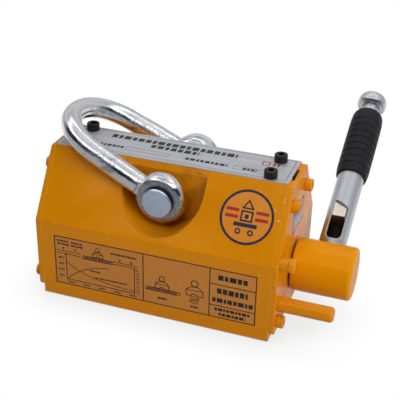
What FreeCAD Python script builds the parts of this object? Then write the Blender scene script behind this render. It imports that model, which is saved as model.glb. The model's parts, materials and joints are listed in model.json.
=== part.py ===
# Permanent-magnet lifter: two steel pole blocks with a turning magnet rotor between them,
# a lever that turns the rotor, a lock inside the lever, and a swinging shackle on top.
# Units are millimetres. +X runs along the block towards the lever, -Y is the front, +Z is up.
# The origin is the centre of the ground lifting face, and every piece is drawn in place.
import FreeCAD
import Part
import os
import math

V = FreeCAD.Vector
Rot = FreeCAD.Rotation
Place = FreeCAD.Placement

# ---------------------------------------------------------------- driving dimensions
POLE_L = 156.0          # length of the pole blocks
PLATE_T = 3.6           # end plate thickness
PLATE_DROP = 0.9        # the end plates stop this far below the top of the block
X_POLE = POLE_L / 2
X_PLATE = X_POLE + PLATE_T   # overall length is 163.2
BODY_W = 89.5           # width of the block
Z_KINK = 55.15          # height where the upright sides turn into slopes
TOP_W = 33.6            # width of the flat top
BODY_H = 97.9           # height of the block
FOOT_Z = 5.2            # end plates stop this far above the lifting face

ROT_Z = 33.6            # height of the rotor axis
BORE_R = 27.4           # rotor bore in the poles
ROTOR_R = 27.0
ROTOR_X = 57.8          # half length of the rotor's steel segments
FLANGE_X = 66.8         # outer face of the rotor end flanges
SLAB = 9.0              # half thickness of the rotor magnet slab
SHAFT_R = 8.0
BUSH_R = 11.0
BUSH_BORE_R = 8.04

KEEL_HW = 7.0           # half width of the non-magnetic spacer between the pole feet
SLOT_HW = 7.5           # half width of the gap between the poles above the bore
SADDLE_Z = 63.0         # top of the spacer above the bore
RIDGE_Z = 91.9          # underside of the bar between the poles at the top

POCKET_R = 26.9         # shackle pockets milled into both slopes
POCKET_Z = 85.5
POCKET_Y = 19.2         # distance of the pocket floor from the middle plane

PIN_Z = 79.2            # shackle pin axis
PIN_R = 9.95
PIN_Y0, PIN_Y1 = -37.6, 38.0
PIN_HEAD_R, PIN_HEAD_T = 15.4, 3.7
EYE_BORE_R = 10.03
EYE_FACE_R, EYE_MAX_R = 14.3, 17.0
EYE_HALF_T = 6.1
SPOT_R = 16.6
JAW = 29.7              # half distance between the middle planes of the two eyes
SHACKLE_DY = 2.1        # the shackle stands this far to the rear on its pin
SHACKLE_TILT = 25.65    # the bow lies this many degrees above level
BOW_E = 80.3            # centreline distance from pin to crown
BOW_W1, BOW_W2, BOW_W3 = 30.2, 29.8, 28.5   # half widths of the centreline at 15, 30 and 45 from the pin
BOW_N = 2.15            # roundness of the crown
BOW_R0, BOW_R1 = 7.2, 6.8                    # rod radius at the eyes and at the crown

HUB_R = 17.4
HUB_X0, HUB_X1 = 83.0, 121.5
HUB_FLAT = 14.85        # distance of the lever's seat on the hub from the rotor axis
HANDLE_X = 102.2        # lever axis crosses the rotor axis here
HANDLE_LEAN = 62.9      # degrees the lever leans back from upright when the magnet is off
TUBE_R, TUBE_BORE_R = 9.0, 6.5
TUBE_R0, TUBE_R1 = 8.6, 131.0                # distance of the tube ends from the rotor axis
SLOT_R0 = 19.3                               # lower end of the window in the tube
WINDOW_X0, WINDOW_X1 = -4.6, 5.2             # its sides
WINDOW_T0, WINDOW_T1 = 49.0, 44.2            # its upper edge runs down from the left side to the right side
KEY_R0, KEY_R2 = 37.0, 57.0                  # lock key: lower end and top of its core
KEY_TOP = 7.7
KEY_CORE_R = 6.4
CATCH_AT = 44.6         # distance of the catch and of the lock post from the rotor axis
CATCH_R = 3.0
WEDGE = 0.65            # sideways travel of the catch per unit of key travel
WEDGE_X0 = 0.6
GRIP_R0, GRIP_R1 = 74.5, 133.0
KNOB_NECK_R = 6.4

STOP_Y, STOP_Z, STOP_R, STOP_X1 = -34.5, 23.5, 4.9, 116.3
POST_Y, POST_Z = -38.5, 55.4
POST_X1, POST_HEAD_R, POST_NECK_R, POST_NECK_L = 91.4, 4.5, 4.1, 5.4

PLATE_SCREWS = [(-15.7, 83.4), (15.7, 83.4), (-38.1, 12.9), (38.1, 12.9)]
TOP_SCREWS = [(sx * 65.3, sy * 11.9) for sx in (-1, 1) for sy in (-1, 1)]

os.makedirs("parts", exist_ok=True)


# ---------------------------------------------------------------- helpers
def cyl_x(r, x0, x1, y=0.0, z=ROT_Z):
    return Part.makeCylinder(r, x1 - x0, V(x0, y, z), V(1, 0, 0))


def cyl_y(r, y0, y1, x=0.0, z=PIN_Z):
    return Part.makeCylinder(r, y1 - y0, V(x, y0, z), V(0, 1, 0))


def cyl_z(r, z0, z1, x=0.0, y=0.0):
    return Part.makeCylinder(r, z1 - z0, V(x, y, z0), V(0, 0, 1))


def box(x0, x1, y0, y1, z0, z1):
    return Part.makeBox(x1 - x0, y1 - y0, z1 - z0, V(x0, y0, z0))


def prism_x(points, x0, x1):
    pts = [V(x0, y, z) for y, z in points]
    return Part.Face(Part.makePolygon(pts + [pts[0]])).extrude(V(x1 - x0, 0, 0))


def revolve_z(points):
    """Solid of revolution about local Z from (radius, height) points."""
    pts = [V(r, 0, z) for r, z in points]
    return Part.Face(Part.makePolygon(pts + [pts[0]])).revolve(V(0, 0, 0), V(0, 0, 1), 360)


def hexagon(af, z0, z1):
    r = af / math.sqrt(3)
    pts = [V(r * math.cos(math.radians(60 * i)), r * math.sin(math.radians(60 * i)), z0) for i in range(6)]
    return Part.Face(Part.makePolygon(pts + [pts[0]])).extrude(V(0, 0, z1 - z0))


def cap_screw(shank_r, shank_l, head_r, head_h, af, depth):
    """Socket cap screw along +Z, its head seated on z = 0."""
    c = 0.45
    s = revolve_z([(0, -shank_l), (shank_r - 0.5, -shank_l), (shank_r, -shank_l + 0.5), (shank_r, 0),
                   (head_r - 0.15, 0), (head_r, 0.15), (head_r, head_h - c), (head_r - c, head_h), (0, head_h)])
    return s.cut(hexagon(af, head_h - depth, head_h + 1))


def placed(shape, pos, axis, turn=0.0):
    """Move a shape drawn along +Z so that +Z points along axis at pos."""
    s = shape.copy()
    r = Rot(V(0, 0, 1), V(*axis)).multiply(Rot(V(0, 0, 1), turn))
    s.Placement = Place(V(*pos), r).multiply(s.Placement)
    return s


def one(shape):
    """The single solid a boolean leaves."""
    s = shape.removeSplitter() if hasattr(shape, "removeSplitter") else shape
    solids = s.Solids
    if len(solids) == 1:
        return solids[0]
    return max(solids, key=lambda q: q.Volume) if len(solids) and min(
        q.Volume for q in solids) < 1e-3 * max(q.Volume for q in solids) else s


def soften(shape, size, pick, chamfer=False):
    """Round or bevel the edges that pick() chooses; one that can't be done is left square."""
    edges = [e for e in shape.Edges if pick(e)]
    try:
        done = shape.makeChamfer(size, edges) if chamfer else shape.makeFillet(size, edges)
        if done.isValid() and done.Volume > 0:
            return done
    except Exception:
        pass
    for e in edges:
        hit = [f for f in shape.Edges if f.BoundBox.Center.distanceToPoint(e.BoundBox.Center) < 1e-4
               and abs(f.Length - e.Length) < 1e-4]
        if not hit:
            continue
        try:
            done = shape.makeChamfer(size, hit) if chamfer else shape.makeFillet(size, hit)
            if done.isValid() and done.Volume > 0:
                shape = done
        except Exception:
            continue
    return shape


def along_x(e):
    b = e.BoundBox
    return b.YLength < 1e-4 and b.ZLength < 1e-4


LEVER = Place(V(HANDLE_X, 0, ROT_Z), Rot(V(1, 0, 0), -HANDLE_LEAN))
# In the lever's own frame +Z runs outwards along the tube, +X is the row's +X, and -Y is the
# side that leads when the lever swings to the front.


def lever(shape):
    s = shape.copy()
    s.Placement = LEVER.multiply(s.Placement)
    return s


TILT = Place(V(0, SHACKLE_DY, PIN_Z), Rot(V(0, 1, 0), SHACKLE_TILT))

nodes = {}


def save(name, shapes):
    shapes = shapes if isinstance(shapes, list) else [shapes]
    solids = []
    for s in shapes:
        solids += s.Solids
    nodes[name] = solids
    out = solids[0] if len(solids) == 1 else Part.makeCompound(solids)
    out.exportStep("parts/%s.step" % name)
    bad = [i for i, s in enumerate(solids) if not s.isValid() or s.Volume <= 0]
    print(name, len(solids), "solid(s)", round(sum(s.Volume for s in solids), 1), "mm3", "BAD %s" % bad if bad else "")


# ---------------------------------------------------------------- pole blocks
HW, HT = BODY_W / 2, TOP_W / 2


def pole(side):
    s = -1 if side == "front" else 1
    pts = [(s * KEEL_HW, 0), (s * HW, 0), (s * HW, Z_KINK), (s * HT, BODY_H), (s * SLOT_HW, BODY_H),
           (s * SLOT_HW, ROT_Z), (s * KEEL_HW, ROT_Z)]
    b = prism_x(pts, -X_POLE, X_POLE)
    b = b.cut(cyl_x(BORE_R, -X_POLE - 1, X_POLE + 1))
    b = one(b)
    # long edges of the paint-covered faces are eased before the pocket is milled
    b = soften(b, 0.8, lambda e: along_x(e) and e.Length > 100 and abs(abs(e.BoundBox.Center.y) - HW) < 1e-3
               and abs(e.BoundBox.Center.z - Z_KINK) < 1e-3)
    b = soften(b, 0.5, lambda e: along_x(e) and e.Length > 100 and abs(abs(e.BoundBox.Center.y) - HW) < 1e-3
               and e.BoundBox.Center.z < 1e-3, chamfer=True)
    y0, y1 = (-60, -POCKET_Y) if s < 0 else (POCKET_Y, 60)
    pocket = cyl_y(POCKET_R, y0, y1, 0, POCKET_Z).fuse(box(-POCKET_R, POCKET_R, y0, y1, POCKET_Z, 120))
    b = b.cut(pocket)
    b = soften(b, 0.7, lambda e: abs(abs(e.BoundBox.YMin) - POCKET_Y) > 1e-3 and e.BoundBox.YLength > 3
               and abs(e.BoundBox.Center.x) < POCKET_R + 0.5 and e.BoundBox.ZMin > 57 and e.BoundBox.ZMax < 96
               and e.BoundBox.YMax - e.BoundBox.YMin < 26 and not along_x(e)
               and max(abs(e.BoundBox.YMin), abs(e.BoundBox.YMax)) < HW)
    b = b.cut(cyl_y(10.0, -60, 60))
    if s < 0:
        # the front arm comes down on the pocket's edge, which is dressed back to seat it
        tilt = math.radians(SHACKLE_TILT)
        d = V(-math.cos(tilt), 0, math.sin(tilt))
        b = b.cut(Part.makeCylinder(BOW_R0 + 0.35, 36, V(d.x * 20, SHACKLE_DY - BOW_W2, PIN_Z + d.z * 20), d))
    # tapped holes for the end plate screws, the top screws, the stop pin and the lock post
    for y, z in PLATE_SCREWS:
        if y * s > 0:
            for x0, x1 in ((X_POLE - 13, X_POLE + 1), (-X_POLE - 1, -X_POLE + 13)):
                b = b.cut(cyl_x(2.5, x0, x1, y, z))
    for x, y in TOP_SCREWS:
        if y * s > 0:
            b = b.cut(cyl_z(2.5, BODY_H - 12, BODY_H + 1, x, y))
    if s < 0:
        b = b.cut(cyl_x(STOP_R, X_POLE - 10, X_POLE + 1, STOP_Y, STOP_Z))
        b = b.cut(cyl_x(3.0, X_POLE - 10, X_POLE + 1, POST_Y, POST_Z))
    return one(b)


save("pole_front", pole("front"))
save("pole_rear", pole("rear"))

# ---------------------------------------------------------------- spacers and fixed magnets between the poles
bore = cyl_x(BORE_R, -X_POLE - 1, X_POLE + 1)
save("keel_spacer", one(box(-X_POLE, X_POLE, -KEEL_HW, KEEL_HW, 0, 12).cut(bore)))
save("saddle_spacer", one(box(-X_POLE, X_POLE, -SLOT_HW, SLOT_HW, 55, SADDLE_Z).cut(bore)))
pin_block = box(-14.9, 14.9, -SLOT_HW, SLOT_HW, SADDLE_Z, RIDGE_Z).cut(cyl_y(10.0, -20, 20))
pin_block = pin_block.cut(cyl_z(3.0, PIN_Z, RIDGE_Z + 1))
save("pin_block", one(pin_block))
magnets = []
for s in (-1, 1):
    for a, b in ((15.0, 46.3), (46.5, 77.8)):
        x0, x1 = sorted((s * a, s * b))
        magnets.append(soften(box(x0, x1, -SLOT_HW, SLOT_HW, SADDLE_Z, RIDGE_Z), 0.5,
                              lambda e: e.Length > 10, chamfer=True))
save("fixed_magnets", magnets)
save("ridge_bar", one(box(-X_POLE + 1.6, X_POLE - 1.6, -SLOT_HW, SLOT_HW, RIDGE_Z, BODY_H).cut(cyl_z(3.0, RIDGE_Z - 1, BODY_H + 1))))
save("pin_lock_screw", one(revolve_z([(0, 87.5), (2.0, 87.5), (3.0, 88.5), (3.0, 97.2), (2.8, 97.4), (0, 97.4)])
                           .cut(hexagon(3.0, 94.0, 98.0))))

# ---------------------------------------------------------------- bearings and bushes
for end, s in (("drive", 1), ("idle", -1)):
    def span(a, b, s=s):
        return sorted((s * a, s * b))
    x0, x1 = span(68.0, X_POLE)
    save("bearing_%s" % end, one(cyl_x(BORE_R, x0, x1).cut(cyl_x(BUSH_R, x0 - 1, x1 + 1))))
    x0, x1 = span(68.0, X_PLATE if end == "drive" else X_POLE - 0.1)
    f0, f1 = span(66.9, 68.0)
    h0, h1 = span(60.0, 90.0)
    bush = cyl_x(BUSH_R, x0, x1).fuse(cyl_x(14.0, f0, f1)).cut(cyl_x(BUSH_BORE_R, h0, h1))
    save("bush_%s" % end, one(bush))


# ---------------------------------------------------------------- end plates
def end_plate(s):
    top = BODY_H - PLATE_DROP
    ht = HT + PLATE_DROP * (HW - HT) / (BODY_H - Z_KINK)
    pts = [(-HW, FOOT_Z), (-HW, Z_KINK), (-ht, top), (ht, top), (HW, Z_KINK), (HW, FOOT_Z)]
    x0, x1 = sorted((s * X_POLE, s * X_PLATE))
    p = prism_x(pts, x0, x1)
    p = soften(p, 3.2, lambda e: along_x(e) and e.BoundBox.Center.z < FOOT_Z + 1)
    p = soften(p, 2.2, lambda e: along_x(e) and e.BoundBox.Center.z > top - 0.5)
    p = soften(p, 0.8, lambda e: along_x(e) and abs(e.BoundBox.Center.z - Z_KINK) < 0.01)
    p = soften(p, 0.6, lambda e: e.BoundBox.XLength < 1e-4 and abs(e.BoundBox.Center.x - s * X_PLATE) < 1e-3)
    for y, z in PLATE_SCREWS:
        p = p.cut(cyl_x(2.6, x0 - 1, x1 + 1, y, z))
    if s > 0:
        p = p.cut(cyl_x(BUSH_R, x0 - 1, x1 + 1))
        p = p.cut(box(X_POLE - 1, X_POLE + 1.3, -9.0, 7.2, RIDGE_Z + 1, BODY_H + 1))
        p = p.cut(cyl_x(STOP_R, x0 - 1, x1 + 1, STOP_Y, STOP_Z))
        p = p.cut(cyl_x(3.0, x0 - 1, x1 + 1, POST_Y, POST_Z))
    return one(p)


save("end_plate_drive", end_plate(1))
save("end_plate_idle", end_plate(-1))
for end, s, head in (("drive", 1, 4.7), ("idle", -1, 4.0)):
    SCREW = cap_screw(2.5, 14.0, 4.1, head, 4.0, 2.6)
    save("end_screws_%s" % end,
         [placed(SCREW, (s * X_PLATE, y, z), (s, 0, 0), 17 * i + 8) for i, (y, z) in enumerate(PLATE_SCREWS)])

# ---------------------------------------------------------------- stop pin and lock post on the drive end plate
pin = revolve_z([(0, 0), (STOP_R - 0.6, 0), (STOP_R, 0.6), (STOP_R, STOP_X1 - 68 - 1.2),
                 (STOP_R - 1.2, STOP_X1 - 68), (0, STOP_X1 - 68)])
save("stop_pin", placed(pin, (68.0, STOP_Y, STOP_Z), (1, 0, 0)))
post_l = POST_X1 - X_PLATE
post = revolve_z([(0, -12.5), (2.5, -12.5), (3.0, -12), (3.0, 0), (POST_NECK_R, 0), (POST_NECK_R, POST_NECK_L),
                  (POST_HEAD_R, POST_NECK_L + 0.5), (POST_HEAD_R, post_l - 1.4), (POST_HEAD_R - 0.45, post_l - 0.45),
                  (POST_HEAD_R - 1.5, post_l), (0, post_l)])
save("lock_post", placed(post, (X_PLATE, POST_Y, POST_Z), (1, 0, 0)))

# ---------------------------------------------------------------- nameplate, top screws and labels
plate = box(-78.1, 77.7, -16.75, 16.75, BODY_H, BODY_H + 0.6)
plate = soften(plate, 0.8, lambda e: e.BoundBox.XLength < 1e-4 and e.BoundBox.YLength < 1e-4)
for x, y in TOP_SCREWS:
    plate = plate.cut(cyl_z(2.7, BODY_H - 1, BODY_H + 2, x, y))
save("nameplate", one(plate))
TOP_SCREW = cap_screw(2.5, 12.0, 4.25, 5.0, 4.0, 3.0)
save("nameplate_screws", [placed(TOP_SCREW, (x, y, BODY_H + 0.6), (0, 0, 1), 11 * i) for i, (x, y) in enumerate(TOP_SCREWS)])
label = box(-68.7, 69.5, -HW - 0.12, -HW, 10.2, 46.6)
save("front_label", soften(label, 1.0, lambda e: e.BoundBox.XLength < 1e-4 and e.BoundBox.ZLength < 1e-4))
SLOPE = math.atan2(HW - HT, BODY_H - Z_KINK)                     # slope measured from upright
slope_n = V(0, -math.cos(SLOPE), math.sin(SLOPE))
slope_u = V(0, math.sin(SLOPE), math.cos(SLOPE))
c = V(56.5, -HW, Z_KINK).add(V(slope_u.x * 27.1, slope_u.y * 27.1, slope_u.z * 27.1))
save("slope_label", Part.makeCylinder(17.3, 0.12, c, slope_n))
save("end_label", soften(box(X_PLATE, X_PLATE + 0.12, -12.3, 13.5, 60.8, 77.0), 0.8,
                         lambda e: e.BoundBox.YLength < 1e-4 and e.BoundBox.ZLength < 1e-4))
save("hub_washer", one(cyl_x(10.8, X_PLATE, 82.9).cut(cyl_x(8.3, 80, 84))))

# ---------------------------------------------------------------- rotor
HALF_TURN = 148.7 / 2
M = Place(V(0, 0, ROT_Z), Rot(V(1, 0, 0), -HALF_TURN))          # local +Z is the magnetised direction at rest


def rotor(shape):
    s = shape.copy()
    s.Placement = M.multiply(s.Placement)
    return s


R_SCREWS = [(q, m) for m in (-17.5, 17.5) for q in (-9.5, 9.5)]


def rotor_round(r, x0, x1, y=0.0, z=0.0):
    return Part.makeCylinder(r, x1 - x0, V(x0, y, z), V(1, 0, 0))


for name, s in (("rotor_pole_a", 1), ("rotor_pole_b", -1)):
    z0, z1 = sorted((s * SLAB, s * 40))
    p = rotor_round(ROTOR_R, -ROTOR_X, ROTOR_X).common(box(-ROTOR_X, ROTOR_X, -40, 40, z0, z1))
    for q, m in R_SCREWS:
        if m * s > 0:
            p = p.cut(rotor_round(2.5, ROTOR_X - 14, ROTOR_X + 1, q, m)).cut(rotor_round(2.5, -ROTOR_X - 1, -ROTOR_X + 14, q, m))
    save(name, rotor(one(p)))
seg = 2 * ROTOR_X / 4
save("rotor_magnets", [rotor(soften(box(-ROTOR_X + i * seg + 0.1, -ROTOR_X + (i + 1) * seg - 0.1, -24, 24, -SLAB, SLAB), 0.6,
                                    lambda e: e.Length > 10, chamfer=True)) for i in range(4)])


def keyway():
    # parallel key on the lower side of the shaft, under the hub
    return box(86 - HANDLE_X, 98 - HANDLE_X, 5.5, 10.5, -2.5, 2.5)


shaft = rotor_round(26.6, ROTOR_X, FLANGE_X).fuse(rotor_round(SHAFT_R, FLANGE_X - 1, 116.0))
for q, m in R_SCREWS:
    shaft = shaft.cut(rotor_round(2.6, ROTOR_X - 1, FLANGE_X + 1, q, m)).cut(rotor_round(4.4, FLANGE_X - 5.2, FLANGE_X + 1, q, m))
shaft = rotor(one(shaft)).cut(lever(keyway()))
save("drive_shaft", one(shaft))
idle = rotor_round(26.6, -FLANGE_X, -ROTOR_X).fuse(rotor_round(SHAFT_R, -76.6, -FLANGE_X + 1))
for q, m in R_SCREWS:
    idle = idle.cut(rotor_round(2.6, -FLANGE_X - 1, -ROTOR_X + 1, q, m)).cut(rotor_round(4.4, -FLANGE_X - 1, -FLANGE_X + 5.2, q, m))
save("idle_shaft", rotor(one(idle)))
R_SCREW = cap_screw(2.5, 16.0, 4.2, 5.0, 4.0, 2.6)
for end, s in (("drive", 1), ("idle", -1)):
    save("rotor_screws_%s" % end,
         [rotor(placed(R_SCREW, (s * (FLANGE_X - 5.2), q, m), (s, 0, 0), 13 * i)) for i, (q, m) in enumerate(R_SCREWS)])

# ---------------------------------------------------------------- hub
hub_l = HUB_X1 - HUB_X0
hub = revolve_z([(0, 0), (HUB_R - 0.5, 0), (HUB_R, 0.5), (HUB_R, hub_l), (0, hub_l)])
hub = soften(hub, 2.4, lambda e: abs(e.BoundBox.Center.z - hub_l) < 1e-3 and e.BoundBox.ZLength < 1e-3
             and e.BoundBox.XLength > 30)
hub = placed(hub, (HUB_X0, 0, ROT_Z), (1, 0, 0))
hub = hub.cut(lever(box(-30, 30, -20, 20, HUB_FLAT, 30)))
hub = hub.cut(cyl_x(SHAFT_R, HUB_X0 - 1, 116.2))
hub = hub.cut(lever(Part.makeCylinder(TUBE_R, 30, V(0, 0, TUBE_R0))))
hub = hub.cut(lever(keyway()))
hub = hub.cut(lever(Part.makeCylinder(2.5, 12, V(90 - HANDLE_X, 10.5, 0), V(0, 1, 0))))
TUBE_PIN = Part.makeCylinder(1.4, 5.0, V(0, 6.1, 12.2), V(0, 1, 0))
hub = hub.cut(lever(TUBE_PIN))
save("hub", one(hub))
save("hub_key", lever(keyway()))
grub = revolve_z([(0, 0), (1.9, 0), (2.5, 0.6), (2.5, 5.8), (2.2, 6.1), (0, 6.1)]).cut(hexagon(2.5, 3.6, 7))
save("hub_set_screw", lever(placed(grub, (90 - HANDLE_X, 10.5, 0), (0, 1, 0))))

# ---------------------------------------------------------------- lever tube with its lock window
tube = revolve_z([(TUBE_BORE_R, TUBE_R0), (TUBE_R, TUBE_R0), (TUBE_R, TUBE_R1 - 0.8), (TUBE_R - 0.8, TUBE_R1),
                  (TUBE_BORE_R, TUBE_R1)])


def window_cut(grow, y0, y1, r_low, r_high):
    """Prism through the front wall of the tube, with round lower corners and a leaning upper edge."""
    fall = (WINDOW_T0 - WINDOW_T1) / (WINDOW_X1 - WINDOW_X0)
    x0, x1 = WINDOW_X0 - grow, WINDOW_X1 + grow
    pts = [V(x0, y0, SLOT_R0 - grow), V(x1, y0, SLOT_R0 - grow), V(x1, y0, WINDOW_T1 + grow * (1 - fall)),
           V(x0, y0, WINDOW_T0 + grow * (1 + fall))]
    w = Part.Face(Part.makePolygon(pts + [pts[0]])).extrude(V(0, y1 - y0, 0))
    w = soften(w, r_low, lambda e: e.BoundBox.XLength < 1e-4 and e.BoundBox.ZLength < 1e-4 and e.BoundBox.Center.z < 30)
    return soften(w, r_high, lambda e: e.BoundBox.XLength < 1e-4 and e.BoundBox.ZLength < 1e-4 and e.BoundBox.Center.z > 30)


tube = tube.cut(window_cut(0.0, -12, -3, 4.0, 1.0))
tube = one(tube)
# rim of the window is dressed back
tube = tube.cut(window_cut(0.7, -12, -7.35, 4.7, 1.6))
tube = tube.cut(Part.makeCylinder(CATCH_R + 0.05, 12, V(0, 0, CATCH_AT), V(-1, 0, 0)))
tube = tube.cut(TUBE_PIN)
save("handle_tube", lever(one(tube)))
save("tube_pin", lever(TUBE_PIN))
save("spring_seat", lever(one(Part.makeCylinder(TUBE_BORE_R, 2.5, V(0, 0, 60)).cut(Part.makeCylinder(3.1, 5, V(0, 0, 59))))))

# ---------------------------------------------------------------- rubber grip with moulded rings
prof = [(TUBE_R, GRIP_R0), (10.0, GRIP_R0), (10.5, GRIP_R0 + 0.6), (10.75, GRIP_R0 + 2.5)]
ring0, pitch, n_rings = 81.0, 5.7, 8
for i in range(n_rings):
    z = ring0 + i * pitch
    bulge = 11.05 + 0.15 * math.sin(math.pi * (z - GRIP_R0) / (GRIP_R1 - GRIP_R0))
    prof += [(bulge, z - 0.75), (bulge - 0.45, z - 0.35), (bulge - 0.45, z + 0.35), (bulge, z + 0.75)]
prof += [(10.95, 126.0), (10.7, 128.6), (10.1, 130.6), (9.1, 132.1), (7.9, 132.9), (7.2, GRIP_R1), (6.7, GRIP_R1),
         (6.7, TUBE_R1), (TUBE_R - 0.8, TUBE_R1), (TUBE_R, TUBE_R1 - 0.8)]
save("handle_grip", lever(one(revolve_z(prof))))

# ---------------------------------------------------------------- lock: knob, rod, key and sideways catch
rod = revolve_z([(0, 51.0), (1.7, 51.0), (2.0, 51.4), (2.0, KEY_R2), (3.0, KEY_R2), (3.0, 100.0), (6.3, 100.0), (6.3, 102.5),
                 (3.0, 102.5), (3.0, 136.0), (0, 136.0)])
save("lock_rod", lever(rod))
knob = [(3.0, 124.0), (KNOB_NECK_R - 0.4, 124.0), (KNOB_NECK_R, 124.5), (KNOB_NECK_R, 140.2), (6.9, 140.7), (7.9, 140.9),
        (9.0, 140.3), (9.6, 140.4), (10.1, 141.2), (10.25, 142.4), (10.2, 144.6), (9.8, 146.6), (9.0, 148.1),
        (7.6, 149.1), (5.0, 149.6), (0, 149.8), (0, 136.0), (3.0, 136.0)]
save("lock_knob", lever(one(revolve_z(knob))))


def wedge(offset_lo, offset_hi, h0, h1, z0=30.0, z1=64.0):
    """Band parallel to the wedge face, from offset_lo to offset_hi towards +X of it, between local y h0 and h1."""
    def face_x(z):
        return WEDGE_X0 - (z - CATCH_AT) * WEDGE
    pts = [V(face_x(z0) + offset_lo, h0, z0), V(face_x(z0) + offset_hi, h0, z0),
           V(face_x(z1) + offset_hi, h0, z1), V(face_x(z1) + offset_lo, h0, z1)]
    return Part.Face(Part.makePolygon(pts + [pts[0]])).extrude(V(0, h1 - h0, 0))


key = Part.makeCylinder(KEY_CORE_R, KEY_R2 - KEY_R0, V(0, 0, KEY_R0))
pts = [V(-4.3, -KEY_TOP, KEY_R0), V(4.2, -KEY_TOP, KEY_R0), V(4.2, -KEY_TOP, 43.8), V(-4.3, -KEY_TOP, 47.9)]
key = key.fuse(Part.Face(Part.makePolygon(pts + [pts[0]])).extrude(V(0, KEY_TOP, 0)))
key = key.cut(Part.makeCylinder(2.0, 7, V(0, 0, 51.0)))
room = wedge(-60, 0, -3.1, 3.1, 41.2)
tongue = wedge(-2.9, -1.5, 0.4, 3.3).common(Part.makeCylinder(KEY_CORE_R, KEY_R2 - KEY_R0, V(0, 0, KEY_R0)))
key = key.cut(room).fuse(tongue)
save("lock_key", lever(one(key)))
catch = Part.makeCylinder(CATCH_R, 20, V(-8.75, 0, CATCH_AT), V(1, 0, 0))
catch = catch.cut(wedge(-0.03, 60, -9, 9)).cut(wedge(-2.93, -1.47, 0.3, 9))
save("lock_catch", lever(one(catch)))

# return spring between the seat and the collar on the rod
coil_r, wire_r, turns = 4.6, 0.55, 11
h0, h1 = 62.5 + wire_r + 0.05, 100.0 - wire_r - 0.05
helix = Part.makeHelix((h1 - h0) / turns, h1 - h0, coil_r)
helix.translate(V(0, 0, h0))
start = Part.Wire(Part.makeCircle(wire_r, V(coil_r, 0, h0), V(0, 1, 0.12)))
spring = Part.Wire(helix).makePipeShell([start], True, True)
save("lock_spring", lever(spring))

# ---------------------------------------------------------------- shackle pin
groove = 8.2
pin = revolve_z([(0, PIN_Y0), (PIN_R - 0.8, PIN_Y0), (PIN_R, PIN_Y0 + 0.8), (PIN_R, -3.2), (groove, -3.2), (groove, 3.2),
                 (PIN_R, 3.2), (PIN_R, PIN_Y1), (PIN_HEAD_R - 0.5, PIN_Y1), (PIN_HEAD_R, PIN_Y1 + 0.5),
                 (PIN_HEAD_R, PIN_Y1 + PIN_HEAD_T - 1.1), (PIN_HEAD_R - 1.1, PIN_Y1 + PIN_HEAD_T), (0, PIN_Y1 + PIN_HEAD_T)])
pin.Placement = Place(V(0, 0, PIN_Z), Rot(V(1, 0, 0), -90))
save("shackle_pin", one(pin))

# ---------------------------------------------------------------- shackle bow, drawn level along -X and then tilted
ctrl = [(0.0, JAW), (15.0, BOW_W1), (30.0, BOW_W2), (45.0, BOW_W3)]
for i in range(1, 7):
    t = math.pi / 2 * i / 6
    ctrl.append((45 + (BOW_E - 45) * math.sin(t) ** (2 / BOW_N), BOW_W3 * max(math.cos(t), 0.0) ** (2 / BOW_N)))
ctrl[-1] = (BOW_E, 0.0)
pts = [V(-e, -w, 0) for e, w in ctrl] + [V(-e, w, 0) for e, w in ctrl[-2::-1]]
spine = Part.BSplineCurve()
spine.interpolate(pts)
f, l = spine.FirstParameter, spine.LastParameter
sections = []
N_SEC = 37
for i in range(N_SEC):
    t = f + (l - f) * i / (N_SEC - 1)
    p, d = spine.value(t), spine.tangent(t)[0]
    if -p.x < 4.0:
        continue
    r = BOW_R0 + (BOW_R1 - BOW_R0) * min(-p.x / BOW_E, 1.0) ** 2
    ring = Part.Circle(V(0, 0, 0), V(0, 0, 1), r).toShape()
    ring.Placement = Place(p, Rot(V(0, 0, 1), d.cross(V(0, 0, 1)), d, "ZXY"))
    sections.append(Part.Wire(ring))
rod = Part.makeLoft(sections, True, False)
bow = rod
for s in (-1, 1):
    prof = [V(0, 0, -EYE_HALF_T), V(EYE_FACE_R, 0, -EYE_HALF_T), V(EYE_MAX_R, 0, 0), V(EYE_FACE_R, 0, EYE_HALF_T), V(0, 0, EYE_HALF_T)]
    wire = Part.Wire([Part.LineSegment(prof[0], prof[1]).toShape(), Part.Arc(prof[1], prof[2], prof[3]).toShape(),
                      Part.LineSegment(prof[3], prof[4]).toShape(), Part.LineSegment(prof[4], prof[0]).toShape()])
    eye = Part.Face(wire).revolve(V(0, 0, 0), V(0, 0, 1), 360)
    eye.Placement = Place(V(0, s * JAW, 0), Rot(V(1, 0, 0), -90))
    bow = bow.fuse(eye)
for s in (-1, 1):
    bow = bow.cut(Part.makeCylinder(EYE_BORE_R, 60, V(0, s * JAW - 30, 0), V(0, 1, 0)))
    # spot face so that the pin head and the retaining end clear the arms
    bow = bow.cut(Part.makeCylinder(SPOT_R, 10, V(0, s * (JAW + EYE_HALF_T), 0), V(0, s, 0)))
bow = one(bow)
before = bow.copy()
bow = soften(bow, 0.5, lambda e: abs(e.BoundBox.XLength - 2 * EYE_BORE_R) < 0.05 and e.BoundBox.YLength < 1e-3, chamfer=True)
if not bow.isValid() or len(bow.Solids) != 1:
    bow = before
bow.Placement = TILT.multiply(bow.Placement)
save("shackle_bow", bow)
print(len(nodes), "nodes", sum(len(v) for v in nodes.values()), "solids")
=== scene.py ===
"""Orange magnetic lifter with a shackle on top and a lever at its drive end.

The housing stands on z = 0, long in x. Its front faces -y, with a slope above it, and its
drive end faces +x. The lever turns about an axis along x and leans towards +y.
"""
import json
import math
import random
from functools import cached_property

import bpy
from mathutils import Matrix, Vector

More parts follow.
